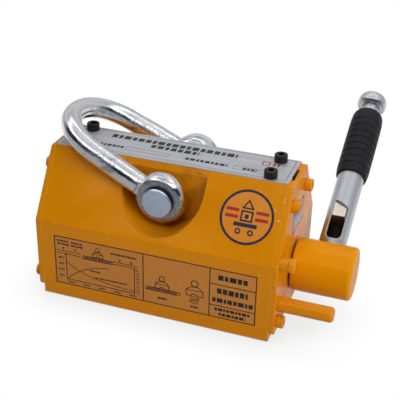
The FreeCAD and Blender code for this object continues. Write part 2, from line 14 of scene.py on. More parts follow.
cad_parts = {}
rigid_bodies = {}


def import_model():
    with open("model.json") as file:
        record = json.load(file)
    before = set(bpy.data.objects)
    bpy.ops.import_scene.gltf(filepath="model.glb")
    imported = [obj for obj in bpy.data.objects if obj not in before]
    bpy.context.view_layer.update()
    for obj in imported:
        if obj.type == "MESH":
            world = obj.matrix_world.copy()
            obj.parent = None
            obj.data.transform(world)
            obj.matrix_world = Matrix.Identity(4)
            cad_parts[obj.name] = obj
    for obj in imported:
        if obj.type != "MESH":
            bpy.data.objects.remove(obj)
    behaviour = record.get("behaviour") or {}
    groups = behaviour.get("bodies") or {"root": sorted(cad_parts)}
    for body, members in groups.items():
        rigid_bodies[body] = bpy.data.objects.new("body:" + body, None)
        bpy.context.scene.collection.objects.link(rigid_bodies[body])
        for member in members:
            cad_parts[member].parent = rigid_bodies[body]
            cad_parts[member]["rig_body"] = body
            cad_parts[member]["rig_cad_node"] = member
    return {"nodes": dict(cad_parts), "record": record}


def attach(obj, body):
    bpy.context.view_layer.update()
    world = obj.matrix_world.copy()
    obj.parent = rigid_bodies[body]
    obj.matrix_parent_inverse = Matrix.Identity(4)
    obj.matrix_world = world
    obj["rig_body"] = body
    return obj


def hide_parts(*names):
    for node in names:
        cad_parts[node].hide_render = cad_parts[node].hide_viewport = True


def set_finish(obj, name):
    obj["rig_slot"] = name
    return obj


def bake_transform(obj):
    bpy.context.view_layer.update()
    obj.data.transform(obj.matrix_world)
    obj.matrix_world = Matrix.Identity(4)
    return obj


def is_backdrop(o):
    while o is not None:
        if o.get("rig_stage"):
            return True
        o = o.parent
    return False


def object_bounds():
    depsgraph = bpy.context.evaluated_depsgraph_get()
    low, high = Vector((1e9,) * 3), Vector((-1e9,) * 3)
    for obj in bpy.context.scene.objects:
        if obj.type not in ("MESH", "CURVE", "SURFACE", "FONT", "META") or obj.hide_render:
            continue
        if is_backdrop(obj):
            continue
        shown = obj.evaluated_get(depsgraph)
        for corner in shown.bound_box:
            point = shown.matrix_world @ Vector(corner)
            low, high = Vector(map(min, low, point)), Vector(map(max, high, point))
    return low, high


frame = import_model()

size_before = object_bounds()
NODES = frame["nodes"]
MM = 0.001
random.seed(7)

# Places on the product, in mm
FRONT_Y = -44.75                        # front face
SLOPE_FOOT_Z = 55.15                    # the slope rises from the front face here ...
SLOPE_TOP_Y, SLOPE_TOP_Z = -16.8, 97.9  # ... up to here
FILM = 0.12                             # thickness of the front and slope films
HUB_X, HUB_Z = 102.2, 33.6              # where the lever line meets the hub axis
LEVER_LEAN = math.radians(62.9)         # lever from upright, towards +y
SHACKLE_PIN_Z = 79.2                    # shackle pin axis, along y at x = 0


# ------------------------------------------------------------------ shader building blocks
class ShaderTree:
    """The nodes of a material or world, with short calls for the common kinds."""

    def __init__(self, owner, output="ShaderNodeOutputMaterial"):
        owner.use_nodes = True
        self.owner = owner
        self.tree = owner.node_tree
        self.tree.nodes.clear()
        self.output = self.add(output)

    def add(self, kind, inputs=None, **props):
        node = self.tree.nodes.new(kind)
        for key, value in props.items():
            setattr(node, key, value)
        for key, value in (inputs or {}).items():
            self.put(node.inputs[key], value)
        return node

    def put(self, socket, value):
        """Link a socket or a node's first output, or set a plain value."""
        if isinstance(value, bpy.types.Node):
            value = value.outputs[0]
        if isinstance(value, bpy.types.NodeSocket):
            self.tree.links.new(value, socket)
            return
        if socket.type == "RGBA" and len(value) == 3:
            value = (*value, 1.0)
        socket.default_value = value

    def math(self, op, a, b=0.0, clamp=False):
        inputs = {0: a, 1: b, 2: 0.0}
        return self.add("ShaderNodeMath", inputs, operation=op, use_clamp=clamp).outputs[0]

    def times(self, first, *others):
        for other in others:
            first = self.math("MULTIPLY", first, other)
        return first

    def plus(self, a, b):
        return self.math("ADD", a, b)

    def minus(self, a, b):
        return self.math("SUBTRACT", a, b)

    def hypot(self, a, b):
        return self.math("SQRT", self.plus(self.times(a, a), self.times(b, b)))

    @cached_property
    def position(self):
        return self.add("ShaderNodeTexCoord").outputs["Object"]

    @cached_property
    def xyz(self):
        """Object coordinates, in metres."""
        return list(self.add("ShaderNodeSeparateXYZ", {0: self.position}).outputs)

    def noise(self, scale, detail=3.0, rough=0.5, stretch=(1, 1, 1), offset=0.0):
        vector = self.position
        if stretch != (1, 1, 1) or offset:
            place = (offset, offset * 0.7, offset * 0.3)
            vector = self.add("ShaderNodeMapping", {
                "Vector": vector, "Location": place, "Scale": stretch})
        return self.add("ShaderNodeTexNoise", {
            "Vector": vector, "Scale": scale, "Detail": detail, "Roughness": rough,
            "Distortion": 0.0}).outputs[0]

    def remap(self, value, span, to=(0.0, 1.0)):
        """Take the range `span` to the range `to`, clamped."""
        return self.add("ShaderNodeMapRange", {
            "Value": value, "From Min": span[0], "From Max": span[1],
            "To Min": to[0], "To Max": to[1]}).outputs[0]

    def over(self, color, tint, by):
        """Lay `tint` over `color` by a share of 0 to 1."""
        return self.add("ShaderNodeMix", {0: by, 6: color, 7: tint}, data_type="RGBA").outputs[2]

    def blend(self, a, b, by):
        """The same for plain numbers."""
        return self.add("ShaderNodeMix", {0: by, 2: a, 3: b}, data_type="FLOAT").outputs[0]

    def bump(self, height, strength, distance, normal=None):
        inputs = {"Height": height, "Strength": strength, "Distance": distance}
        if normal is not None:
            inputs["Normal"] = normal
        return self.add("ShaderNodeBump", inputs).outputs[0]

    def bevel(self, radius):
        return self.add("ShaderNodeBevel", {"Radius": radius}, samples=6).outputs[0]

    def edge(self, radius):
        """Near 1 along sharp edges, 0 on open faces."""
        flat = self.add("ShaderNodeNewGeometry").outputs["Normal"]
        dot = self.add("ShaderNodeVectorMath", {0: flat, 1: self.bevel(radius)},
                       operation="DOT_PRODUCT")
        return self.remap(dot.outputs["Value"], span=(0.995, 0.80))

    def ao(self, distance, samples=6):
        """Openness: 1 on open faces, less in corners within `distance`."""
        return self.add("ShaderNodeAmbientOcclusion", {"Distance": distance},
                        samples=samples).outputs["AO"]

    def mix_shader(self, by, a, b):
        return self.add("ShaderNodeMixShader", {0: by, 1: a, 2: b})

    def finish(self, **inputs):
        """Wire a Principled shader to the output; underscores stand for spaces."""
        named = {key.replace("_", " "): value for key, value in inputs.items()}
        self.put(self.output.inputs[0], self.add("ShaderNodeBsdfPrincipled", named))
        return self.owner


def new_material(name):
    return ShaderTree(bpy.data.materials.new(name))


def lever_frame(m):
    """Distance from the lever's centre line and position along it, in metres."""
    sine, cosine = round(math.sin(LEVER_LEAN), 6), round(math.cos(LEVER_LEAN), 6)
    x, y, z = m.xyz
    dx, dz = m.minus(x, HUB_X * MM), m.minus(z, HUB_Z * MM)
    along = m.plus(m.times(y, sine), m.times(dz, cosine))
    out = m.plus(m.times(y, -cosine), m.times(dz, sine))
    return m.hypot(dx, out), along


def pin_distance(m):
    """Distance from the shackle pin's axis, in metres."""
    x, _, z = m.xyz
    return m.hypot(x, m.minus(z, SHACKLE_PIN_Z * MM))


# ------------------------------------------------------------------ enamel
ORANGE = (0.720, 0.252, 0.0008)


def pocket_wear_and_shade(m, color, rough, normal):
    """Painted shade, dirt and scuffs in the U-shaped pocket round x = 0, and chips near the drive
    end.
    """
    x, y, z = m.xyz
    depth_y = m.math("ABSOLUTE", y)
    # the pocket is round below its axis and straight above it
    below_axis = m.math("MINIMUM", m.minus(z, 0.0855), 0.0)
    inside = m.times(m.remap(m.hypot(x, below_axis), span=(0.02765, 0.02705)),
                     m.remap(z, span=(0.056, 0.0575)))
    scale = m.noise(scale=120.0, detail=5.0, rough=0.65, stretch=(1.0, 1.0, 0.45), offset=5.0)
    streak = m.noise(scale=70.0, detail=4.0, rough=0.6, stretch=(0.5, 1.0, 2.6), offset=9.0)
    middle = m.times(inside, m.remap(depth_y, span=(0.0385, 0.0300)))
    right = m.remap(x, span=(-0.012, 0.016))
    dirt = m.times(inside, m.remap(right, span=(0.0, 1.0), to=(0.25, 1.0)),
                   m.remap(m.plus(scale, m.times(streak, 0.6)), span=(0.76, 1.08)))
    scuff = m.times(inside, right, m.remap(
        m.noise(scale=260.0, detail=4.0, rough=0.6, stretch=(1.0, 1.0, 3.0), offset=13.0),
        span=(0.60, 0.68)))
    # painted shade: the pocket darker inside, and darker again where |y| is under 30 mm
    color = m.over(color, tint=(0.42, 0.125, 0.0010), by=m.times(inside, 0.15))
    color = m.over(color, tint=(0.30, 0.090, 0.0015), by=m.times(middle, 0.10))
    color = m.over(color, tint=(0.16, 0.055, 0.006), by=m.times(dirt, 0.62))
    color = m.over(color, tint=(0.60, 0.34, 0.10), by=m.times(scuff, 0.5))
    rough = m.blend(rough, m.remap(scale, span=(0.3, 0.7), to=(0.40, 0.60)), by=inside)
    normal = m.bump(m.times(inside, m.plus(scale, streak)), strength=0.6, distance=0.0008,
                    normal=normal)
    # small pale chips high up at the drive end
    chip = m.times(m.remap(x, span=(0.0715, 0.0735)),
                   m.remap(m.noise(scale=330.0, detail=2.0, offset=21.0), span=(0.66, 0.70)),
                   m.remap(z, span=(0.070, 0.078)))
    color = m.over(color, tint=(0.88, 0.62, 0.42), by=m.times(chip, 0.75))
    return color, rough, normal


def ground_feet(m, color, rough, coat):
    """Bare ground steel on the lowest faces; also gives the metallic share."""
    ground = m.remap(m.xyz[2], span=(0.0010, 0.0004))
    lines = m.noise(scale=1200.0, detail=2.0, stretch=(0.05, 1.0, 1.0), offset=2.0)
    blotches = m.noise(scale=40.0, detail=4.0, rough=0.6, offset=14.0)
    bare = m.over((0.40, 0.40, 0.41), tint=(0.54, 0.54, 0.55),
                  by=m.remap(lines, span=(0.35, 0.65)))
    bare = m.over(bare, tint=(0.25, 0.22, 0.19),
                  by=m.remap(blotches, span=(0.5, 0.75), to=(0.0, 0.5)))
    return (m.over(color, tint=bare, by=ground), m.blend(rough, 0.38, by=ground),
            m.blend(coat, 0.0, by=ground), m.times(ground, 0.85))


def enamel(name, base=ORANGE, worn=False, pole=False, smooth_coat=False, specular=0.12, coat=0.10):
    m = new_material(name)
    # slow drift of tone, fine dark specks, and a painted highlight along sharp edges, partly
    # thinner paint there
    drift = m.remap(m.noise(scale=14.0), span=(0.35, 0.65), to=(0.0, 0.2 if smooth_coat else 0.5))
    color = m.over(base, tint=(0.650, 0.218, 0.0008), by=drift)
    color = m.over(color, tint=(0.42, 0.12, 0.002), by=m.remap(
        m.noise(scale=900.0, detail=2.0), span=(0.70, 0.80), to=(0.0, 0.12)))
    rough = m.remap(m.noise(scale=60.0, detail=4.0), span=(0.3, 0.7), to=(0.22, 0.32))
    edge = m.edge(radius=0.0007)
    # painted highlight: lighter along sharp edges, stronger with smooth_coat; partly thinner paint
    color = m.over(color, tint=(0.95, 0.47, 0.05), by=m.times(edge, 0.9 if smooth_coat else 0.55))
    if worn:
        chips = m.noise(scale=700.0, detail=4.0, rough=0.6, offset=3.0)
        chipped = m.math("MULTIPLY", edge, m.remap(chips, span=(0.60, 0.66)), clamp=True)
        color = m.over(color, tint=(0.52, 0.42, 0.30), by=m.times(chipped, 0.8))
    # orange peel on slow waves
    peel = m.noise(scale=520.0, detail=2.0)
    waves = m.noise(scale=45.0, detail=2.0, offset=1.7)
    normal = m.bump(m.plus(m.times(peel, 0.5), m.times(waves, 0.9)),
                    strength=0.07 if smooth_coat else 0.22, distance=0.00022,
                    normal=m.bevel(radius=0.0005))
    if pole:
        color, rough, normal = pocket_wear_and_shade(m, color, rough, normal)
    # painted shade in tight corners, in noise patches
    corner = m.remap(m.ao(distance=0.0016), span=(0.25, 0.75), to=(0.28, 0.0))
    patch = m.remap(m.noise(scale=260.0, detail=4.0, rough=0.6), span=(0.3, 0.7))
    color = m.over(color, tint=(0.20, 0.062, 0.004), by=m.times(corner, patch))
    metal = 0.0
    if pole:
        color, rough, coat, metal = ground_feet(m, color, rough, coat)
    return m.finish(Base_Color=color, Roughness=rough, Normal=normal, Coat_Weight=coat,
                    Coat_Roughness=0.12, Specular_IOR_Level=specular, Metallic=metal)


# ------------------------------------------------------------------ zinc
def forged_skin(m, color, rough, normal):
    """Lumps, pitted patches, drawn marks on the -x side and a dull ring round the pin."""
    lump = m.noise(scale=75.0, offset=6.0)
    pits = m.noise(scale=330.0, detail=4.0, rough=0.65, offset=8.0)
    patch = m.remap(m.noise(scale=34.0, detail=2.0, offset=11.0), span=(0.50, 0.62))
    height = m.plus(m.times(lump, 0.6), m.times(pits, patch, 0.9))
    normal = m.bump(height, strength=0.42, distance=0.0008, normal=normal)
    pitted = m.times(patch, m.remap(pits, span=(0.56, 0.66)))
    color = m.over(color, tint=(0.17, 0.165, 0.16), by=m.times(pitted, 0.5))
    rough = m.plus(rough, m.times(patch, 0.10))
    x, y, _ = m.xyz
    marks = m.noise(scale=150.0, rough=0.6, stretch=(0.25, 1.6, 1.0), offset=17.0)
    drawn = m.times(m.remap(marks, span=(0.56, 0.66)), m.remap(x, span=(-0.058, -0.046)))
    color = m.over(color, tint=(0.17, 0.17, 0.185), by=m.times(drawn, 0.6))
    ring = m.times(m.remap(pin_distance(m), span=(0.0149, 0.0143)),
                   m.remap(y, span=(-0.0331, -0.0335)))
    speck = m.remap(m.noise(scale=900.0, rough=0.6, offset=5.0), span=(0.4, 0.6))
    skin = m.over((0.26, 0.265, 0.27), tint=(0.52, 0.53, 0.54), by=speck)
    color = m.over(color, tint=skin, by=m.times(ring, 0.85))
    return color, m.blend(rough, 0.42, by=ring), normal


def tube_bore_shade_and_foot(m, color, rough):
    """Painted shade in the bore, near black and not metallic, browner further up the lever; darker
    brownish patches at the foot; also gives the metallic share.
    """
    distance, along = lever_frame(m)
    bore = m.remap(distance, span=(0.0072, 0.0067))
    # painted shade in the bore: near black, browner further up the lever
    bore_shade = m.over((0.004, 0.004, 0.004), tint=(0.020, 0.010, 0.006),
                 by=m.remap(along, span=(0.026, 0.040)))
    color = m.over(color, tint=bore_shade, by=bore)
    # darker brownish patches at the foot
    blotches = m.noise(scale=240.0, detail=4.0, rough=0.6, offset=15.0)
    foot = m.times(m.remap(along, span=(0.0205, 0.0165)), m.remap(blotches, span=(0.40, 0.62)))
    color = m.over(color, tint=(0.20, 0.13, 0.08), by=m.times(foot, 0.65))
    return color, m.blend(rough, 0.6, by=bore), m.blend(1.0, 0.0, by=bore)


def zinc(name, base, rough_range, dull, forged=False, tube=False, pin=False):
    """Bright zinc; `dull` is the share of grey cast."""
    m = new_material(name)
    broad = m.noise(scale=30.0, detail=4.0, rough=0.6)
    fine = m.noise(scale=420.0, rough=0.6, offset=2.0)
    color = m.over(base, tint=(0.50, 0.52, 0.55),
                   by=m.remap(broad, span=(0.35, 0.7), to=(0.0, dull)))
    color = m.over(color, tint=(0.36, 0.37, 0.39),
                   by=m.remap(fine, span=(0.58, 0.72), to=(0.0, 0.35)))
    rough = m.remap(m.plus(broad, m.times(fine, 0.5)), span=(0.5, 1.0), to=rough_range)
    height = fine
    if tube:  # brushed lines
        brush = m.noise(scale=900.0, detail=2.0, stretch=(1.0, 0.06, 0.06), offset=4.0)
        height = m.plus(m.times(fine, 0.3), brush)
        rough = m.plus(rough, m.remap(brush, span=(0.3, 0.7), to=(-0.04, 0.06)))
    normal = m.bump(height, strength=0.12, distance=0.00012, normal=m.bevel(radius=0.0003))
    if forged:
        color, rough, normal = forged_skin(m, color, rough, normal)
    # painted shade in crevices
    crevice = m.remap(m.ao(distance=0.003), span=(0.3, 0.9), to=(0.6, 0.0))
    color = m.over(color, tint=(0.12, 0.12, 0.125), by=crevice)
    metal = 1.0
    if tube:
        color, rough, metal = tube_bore_shade_and_foot(m, color, rough)
    if pin:  # painted shade: the round wall at the pin's protruding ends made near black
        wall = m.times(m.remap(pin_distance(m), span=(0.00965, 0.0098)),
                       m.remap(m.math("ABSOLUTE", m.xyz[1]), span=(0.0369, 0.0366)))
        color = m.over(color, tint=(0.020, 0.020, 0.026), by=m.times(wall, 0.92))
    return m.finish(Base_Color=color, Metallic=metal, Roughness=rough, Normal=normal)


# ------------------------------------------------------------------ other materials
def black_oxide():
    m = new_material("black_oxide")
    grain = m.noise(scale=600.0, rough=0.6)
    color = m.over((0.010, 0.010, 0.011), tint=(0.028, 0.027, 0.027),
                   by=m.remap(grain, span=(0.4, 0.7), to=(0.0, 0.6)))
    color = m.over(color, tint=(0.16, 0.155, 0.15), by=m.times(m.edge(radius=0.0004), 0.35))
    return m.finish(
        Base_Color=color, Metallic=0.55, Specular_IOR_Level=0.4,
        Roughness=m.remap(grain, span=(0.3, 0.7), to=(0.32, 0.52)),
        Normal=m.bump(grain, strength=0.25, distance=0.0001, normal=m.bevel(radius=0.0003)))


def knurled_black():
    """Black nameplate screws, with a fine upright knurl on the round wall."""
    m = new_material("black_oxide_knurled")
    grain = m.noise(scale=600.0, rough=0.6)
    x, y, z = m.xyz
    # the four screws stand at x = +-65.3 mm, y = +-11.9 mm
    from_x = m.minus(m.math("ABSOLUTE", x), 0.0653)
    from_y = m.minus(m.math("ABSOLUTE", y), 0.0119)
    angle = m.math("ARCTAN2", from_y, from_x)
    teeth = m.math("ABSOLUTE", m.math("SINE", m.times(angle, 22.0)))
    wall = m.times(m.remap(m.hypot(from_x, from_y), span=(0.00390, 0.00405)),
                   m.remap(z, span=(0.1030, 0.1027)))
    color = m.over((0.011, 0.011, 0.012), tint=(0.030, 0.029, 0.029),
                   by=m.remap(grain, span=(0.4, 0.7), to=(0.0, 0.6)))
    color = m.over(color, tint=(0.17, 0.165, 0.16), by=m.times(m.edge(radius=0.0004), 0.30))
    return m.finish(
        Base_Color=color, Metallic=0.5,
        Roughness=m.remap(grain, span=(0.3, 0.7), to=(0.30, 0.48)),
        Normal=m.bump(m.times(teeth, wall), strength=0.9, distance=0.00016,
                      normal=m.bevel(radius=0.00025)))


def rubber():
    m = new_material("grip_rubber")
    grain = m.noise(scale=800.0, detail=4.0, rough=0.6)
    broad = m.noise(scale=40.0, offset=2.0)
    color = m.over((0.0060, 0.0060, 0.0075), tint=(0.013, 0.013, 0.016),
                   by=m.remap(broad, span=(0.35, 0.7), to=(0.0, 0.7)))
    dust = m.remap(m.ao(distance=0.0025), span=(0.4, 0.9), to=(0.35, 0.0))
    color = m.over(color, tint=(0.045, 0.043, 0.040), by=dust)
    return m.finish(
        Base_Color=color, Specular_IOR_Level=0.26,
        Roughness=m.remap(grain, span=(0.3, 0.7), to=(0.46, 0.60)),
        Normal=m.bump(grain, strength=0.3, distance=0.00012, normal=m.bevel(radius=0.0003)))


def plate_metal():
    """Aluminium with a grain along x."""
    m = new_material("nameplate_aluminium")
    grain = m.noise(scale=500.0, detail=2.0, stretch=(0.06, 1.0, 1.0))
    fine = m.noise(scale=1500.0, detail=2.0)
    broad = m.noise(scale=22.0, rough=0.55, offset=3.0)
    color = m.over((0.46, 0.475, 0.505), tint=(0.57, 0.585, 0.615),
                   by=m.remap(grain, span=(0.3, 0.7)))
    color = m.over(color, tint=(0.24, 0.25, 0.27),
                   by=m.remap(fine, span=(0.62, 0.75), to=(0.0, 0.35)))
    color = m.over(color, tint=(0.52, 0.535, 0.56),
                   by=m.remap(broad, span=(0.45, 0.75), to=(0.0, 0.30)))
    return m.finish(
        Base_Color=color, Metallic=0.45,
        Roughness=m.remap(grain, span=(0.3, 0.7), to=(0.36, 0.48)),
        Normal=m.bump(m.plus(grain, m.times(fine, 0.4)), strength=0.12, distance=0.00008,
                      normal=m.bevel(radius=0.0002)))


def film(name, base, deep, rough, metallic=0.0):
    m = new_material(name)
    fine = m.noise(scale=240.0, detail=4.0, rough=0.6)
    broad = m.noise(scale=26.0, offset=4.0)
    color = m.over(base, tint=deep, by=m.remap(fine, span=(0.3, 0.7), to=(0.0, 0.55)))
    color = m.over(color, tint=deep, by=m.remap(broad, span=(0.4, 0.7), to=(0.0, 0.35)))
    return m.finish(
        Base_Color=color, Metallic=metallic, Coat_Weight=0.3, Coat_Roughness=0.2,
        Roughness=m.remap(broad, span=(0.3, 0.7), to=(rough, rough + 0.12)),
        Normal=m.bump(m.plus(m.times(fine, 0.3), broad), strength=0.10, distance=0.00025))


def ink(name, base, pale):
    m = new_material(name)
    fine = m.noise(scale=900.0, rough=0.6)
    broad = m.noise(scale=90.0, detail=2.0, offset=2.0)
    color = m.over(base, tint=pale, by=m.times(m.remap(fine, span=(0.50, 0.75)), 0.45))
    color = m.over(color, tint=pale, by=m.remap(broad, span=(0.55, 0.8), to=(0.0, 0.25)))
    return m.finish(
        Base_Color=color, Roughness=m.remap(fine, span=(0.3, 0.7), to=(0.35, 0.5)),
        Normal=m.bump(fine, strength=0.1, distance=0.00005))


def machined(name, base, dark, rough_range=(0.22, 0.36)):
    m = new_material(name)
    cut = m.noise(scale=1300.0, detail=2.0, stretch=(1.0, 0.05, 0.05))
    broad = m.noise(scale=60.0, detail=4.0, rough=0.6, offset=1.0)
    spots = m.noise(scale=380.0, rough=0.6, offset=7.0)
    color = m.over(base, tint=dark, by=m.remap(cut, span=(0.35, 0.65), to=(0.0, 0.35)))
    color = m.over(color, tint=dark, by=m.remap(broad, span=(0.45, 0.75), to=(0.0, 0.30)))
    color = m.over(color, tint=tuple(c * 0.35 for c in dark),
                   by=m.remap(spots, span=(0.66, 0.74), to=(0.0, 0.4)))
    color = m.over(color, tint=tuple(min(1.0, c * 1.3) for c in base),
                   by=m.times(m.edge(radius=0.0004), 0.25))
    return m.finish(
        Base_Color=color, Metallic=1.0,
        Roughness=m.remap(broad, span=(0.3, 0.7), to=rough_range),
        Normal=m.bump(cut, strength=0.18, distance=0.00008, normal=m.bevel(radius=0.0003)))


def cream():
    """Stained cream, with painted shade in corners and painted shade in brown low on the lever and
    close to its centre line.
    """
    m = new_material("cream_key")
    fine = m.noise(scale=300.0, detail=4.0, rough=0.6)
    broad = m.noise(scale=120.0, rough=0.6, offset=3.0)
    color = m.over((0.72, 0.70, 0.61), tint=(0.58, 0.56, 0.47),
                   by=m.remap(fine, span=(0.35, 0.7), to=(0.0, 0.5)))
    color = m.over(color, tint=(0.36, 0.33, 0.26),
                   by=m.remap(broad, span=(0.55, 0.72), to=(0.0, 0.40)))
    # painted shade in corners
    color = m.over(color, tint=(0.16, 0.13, 0.09),
                   by=m.remap(m.ao(distance=0.002), span=(0.3, 0.9), to=(0.5, 0.0)))
    # painted shade: brown on the key low on the lever and near the lever's centre line
    distance, along = lever_frame(m)
    low = m.math("MAXIMUM", m.remap(along, span=(0.0373, 0.0371)),
                 m.remap(distance, span=(0.0062, 0.0058)))
    color = m.over(color, tint=(0.105, 0.052, 0.028), by=low)
    return m.finish(
        Base_Color=color, Roughness=m.remap(fine, span=(0.3, 0.7), to=(0.42, 0.6)),
        Normal=m.bump(fine, strength=0.3, distance=0.00015, normal=m.bevel(radius=0.0003)))


# each material with the CAD pieces that wear it
COATINGS = [
    (enamel("orange_enamel", worn=True),
     "end_screws_drive end_screws_idle stop_pin lock_post"),
    (enamel("orange_enamel_hub", base=(0.760, 0.285, 0.0008), smooth_coat=True, specular=0.05,
            coat=0.0), "hub"),
    (enamel("orange_enamel_plate", worn=True, specular=0.14, coat=0.0),
     "end_plate_drive end_plate_idle"),
    (enamel("orange_enamel_pole", pole=True, worn=True), "pole_front pole_rear"),
    (enamel("orange_shadowed"), "hub_washer"),
    (zinc("forged_zinc", base=(0.87, 0.88, 0.905), rough_range=(0.10, 0.22), dull=0.15,
          forged=True), "shackle_bow"),
    (zinc("zinc_pin", base=(0.77, 0.86, 1.0), rough_range=(0.36, 0.48), dull=0.35, pin=True),
     "shackle_pin"),
    (zinc("zinc_tube", base=(0.61, 0.64, 0.68), rough_range=(0.36, 0.46), dull=0.30, tube=True),
     "handle_tube"),
    (zinc("zinc_knob", base=(0.70, 0.735, 0.77), rough_range=(0.30, 0.46), dull=0.6),
     "lock_knob"),
    (black_oxide(), "pin_lock_screw rotor_screws_drive rotor_screws_idle hub_set_screw"),
    (knurled_black(), "nameplate_screws"),
    (rubber(), "handle_grip"),
    (plate_metal(), "nameplate"),
    (film("film_front", base=(0.615, 0.222, 0.012), deep=(0.50, 0.178, 0.014), rough=0.34),
     "front_label"),
    (film("film_slope", base=(0.69, 0.235, 0.0045), deep=(0.63, 0.205, 0.004), rough=0.30),
     "slope_label"),
    (film("film_end", base=(0.42, 0.45, 0.52), deep=(0.33, 0.36, 0.43), rough=0.32,
          metallic=0.2), "end_label"),
    (machined("brass_turned", base=(0.66, 0.47, 0.18), dark=(0.40, 0.27, 0.09)),
     "keel_spacer saddle_spacer bush_drive bush_idle"),
    (machined("aluminium_milled", base=(0.70, 0.71, 0.73), dark=(0.45, 0.46, 0.48)),
     "ridge_bar bearing_drive bearing_idle"),
    (machined("magnet_nickel", base=(0.50, 0.49, 0.46), dark=(0.28, 0.27, 0.26),
              rough_range=(0.2, 0.34)), "fixed_magnets rotor_magnets"),
    (machined("steel_ground", base=(0.52, 0.53, 0.54), dark=(0.26, 0.265, 0.27)),
     "pin_block rotor_pole_a rotor_pole_b drive_shaft idle_shaft hub_key tube_pin spring_seat"
     " lock_rod lock_catch lock_spring"),
    (cream(), "lock_key"),
]
INK_DARK = ink("ink_dark", base=(0.008, 0.007, 0.009), pale=(0.035, 0.022, 0.012))
INK_NAVY = ink("ink_navy", base=(0.008, 0.010, 0.030), pale=(0.03, 0.03, 0.05))
INK_RED = ink("ink_red", base=(0.38, 0.010, 0.012), pale=(0.45, 0.05, 0.02))
INK_BLUE = ink("ink_blue", base=(0.03, 0.04, 0.33), pale=(0.06, 0.08, 0.36))


def smooth(piece, angle):
    """Smooth shading with sharp edges kept, as modifiers, so that the CAD vertices stay."""
    for face in piece.data.polygons:
        face.use_smooth = True
    weld = piece.modifiers.new("weld", "WELD")
    weld.merge_threshold = 2e-6
    split = piece.modifiers.new("edges", "EDGE_SPLIT")
    split.split_angle = math.radians(angle)


SLOT_OF = {part["node"]: part["material_slot"] for part in frame["record"]["subparts"]}
for coating, names in COATINGS:
    for name in names.split():
        piece = NODES[name]
        piece.data.materials.clear()
        piece.data.materials.append(coating)
        for face in piece.data.polygons:
            face.material_index = 0
        smooth(piece, angle=45.0 if name == "shackle_bow" else 32.0)
        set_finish(piece, SLOT_OF[name])


# ------------------------------------------------------------------ prints
class Print:
    """Flat ink shapes in plane coordinates (mm), made into one mesh."""

    def __init__(self, origin, across, up, lift=0.03, weight=1.0):
        self.weight = weight            # factor on all line widths
        self.across, self.up = Vector(across).normalized(), Vector(up).normalized()
        self.origin = Vector(origin) + self.across.cross(self.up).normalized() * lift
        self.verts, self.faces = [], []

    def poly(self, points):
        area = sum(a[0] * b[1] - b[0] * a[1] for a, b in zip(points, points[1:] + points[:1]))
        if area < 0:
            points = points[::-1]
        start = len(self.verts)
        self.verts += [(self.origin + self.across * x + self.up * y) * MM for x, y in points]
        self.faces.append(tuple(range(start, start + len(points))))

    def rect(self, x0, y0, x1, y1):
        self.poly([(x0, y0), (x1, y0), (x1, y1), (x0, y1)])

    def line(self, a, b, width):
        """A stroke with square ends that reach half its width beyond a and b."""
        dx, dy = b[0] - a[0], b[1] - a[1]
        half = width * self.weight / 2 / math.hypot(dx, dy)
        ex, ey = dx * half, dy * half
        self.poly([(a[0] - ex - ey, a[1] - ey + ex), (a[0] - ex + ey, a[1] - ey - ex),
                   (b[0] + ex + ey, b[1] + ey - ex), (b[0] + ex - ey, b[1] + ey + ex)])

    def path(self, points, width, closed=False):
        ends = points[1:] + points[:1] if closed else points[1:]
        for a, b in zip(points, ends):
            self.line(a, b, width)

    def frame(self, x0, y0, x1, y1, width):
        self.path([(x0, y0), (x1, y0), (x1, y1), (x0, y1)], width, closed=True)

    def ring(self, cx, cy, inner, outer, steps, start=0.0, end=360.0):
        for i in range(steps):
            a, b = (math.radians(start + (end - start) * j / steps) for j in (i, i + 1))
            self.poly([(cx + r * math.cos(t), cy + r * math.sin(t))
                       for r, t in ((inner, a), (outer, a), (outer, b), (inner, b))])

    def bars(self, x0, y0, x1, height, widths, gap):
        """A row of plain blocks from x0 to x1 that stands in for a line of print."""
        x, i = x0, 0
        while x < x1 - 0.3:
            width = min(widths[i % len(widths)], x1 - x)
            self.rect(x, y0, x + width, y0 + height)
            x += width + gap
            i += 1

    def hatch(self, x0, y0, x1, y1, step=1.3):
        self.frame(x0, y0, x1, y1, 0.3)
        x = x0 + 0.3
        while x + (y1 - y0) < x1:
            self.line((x, y0), (x + (y1 - y0), y1), 0.35)
            x += step

    def lifter_sign(self, cx, cy, scale):
        """Outline of a lifting block with its ring."""
        half = [(1.5, 2.5), (3.6, 0.8), (3.6, -1.9), (1.6, -1.9), (0.9, -1.0)]
        outline = [(-1.5, 2.5)] + half + [(-x, y) for x, y in half[:0:-1]]
        self.ring(cx, cy + 4.1 * scale, 1.25 * scale, 1.7 * scale, steps=24)
        self.path([(cx + x * scale, cy + y * scale) for x, y in outline], 0.36, closed=True)
        shoulder = cy + 0.8 * scale
        self.line((cx - 3.6 * scale, shoulder), (cx + 3.6 * scale, shoulder), 0.3)

    def build(self, name, material):
        mesh = bpy.data.meshes.new(name)
        mesh.from_pydata([tuple(v) for v in self.verts], [], self.faces)
        mesh.update()
        obj = bpy.data.objects.new(name, mesh)
        bpy.context.scene.collection.objects.link(obj)
        mesh.materials.append(material)
        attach(obj, "housing")
        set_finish(obj, "label_film")


RULE, AXIS, THIN = 0.42, 0.36, 0.3      # line widths before the front print's weight
CELL_A, CELL_B = -5.9, 39.0             # x of the upright rules between the three cells


